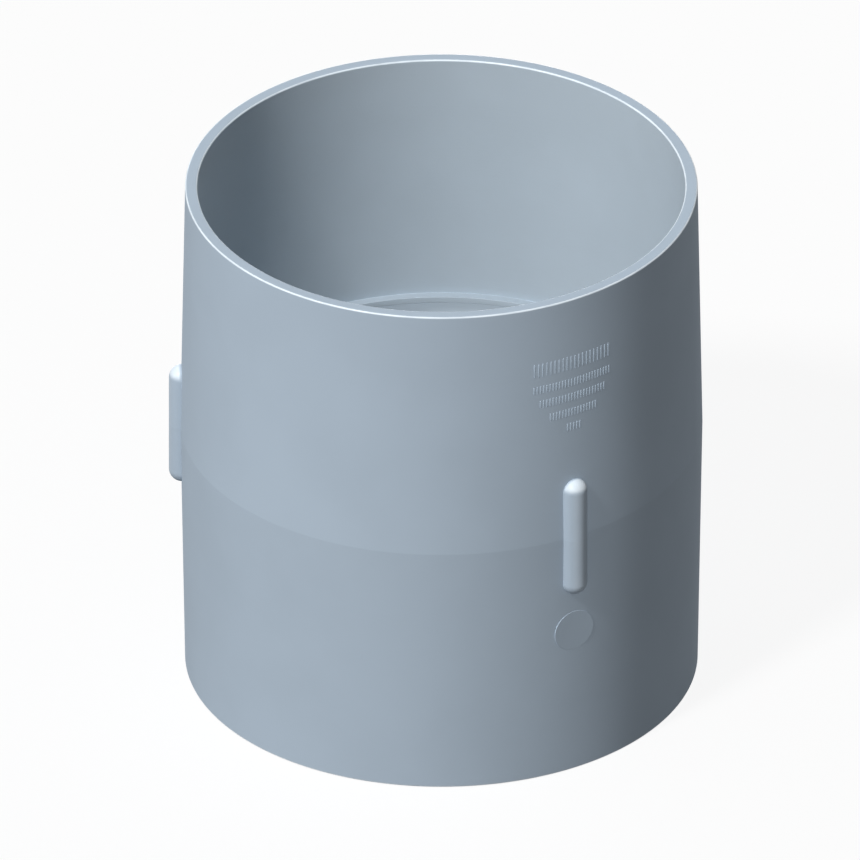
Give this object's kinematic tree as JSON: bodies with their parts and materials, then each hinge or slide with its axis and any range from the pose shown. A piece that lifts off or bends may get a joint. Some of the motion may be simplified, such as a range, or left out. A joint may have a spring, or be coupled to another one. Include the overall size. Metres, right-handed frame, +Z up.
{
  "type": "pvc pipe coupling",
  "caption": "Straight moulded PVC coupling with a plain socket at each end, an internal stop ring, slightly barrelled sides and short round-ended ribs around the middle.",
  "frame": {"origin": "centre of the lower mouth, on the pipe axis, in the plane of the end face that it stands on", "axes": "+Z up along the pipe axis; the rib with the round pad below it faces -Y, and X is across"},
  "size_m": [0.1182, 0.1208, 0.124],
  "materials": {
    "pvc": "satin, as moulded"
  },
  "bodies": {
    "root": {"coupling": "pvc"}
  },
  "joints": []
}
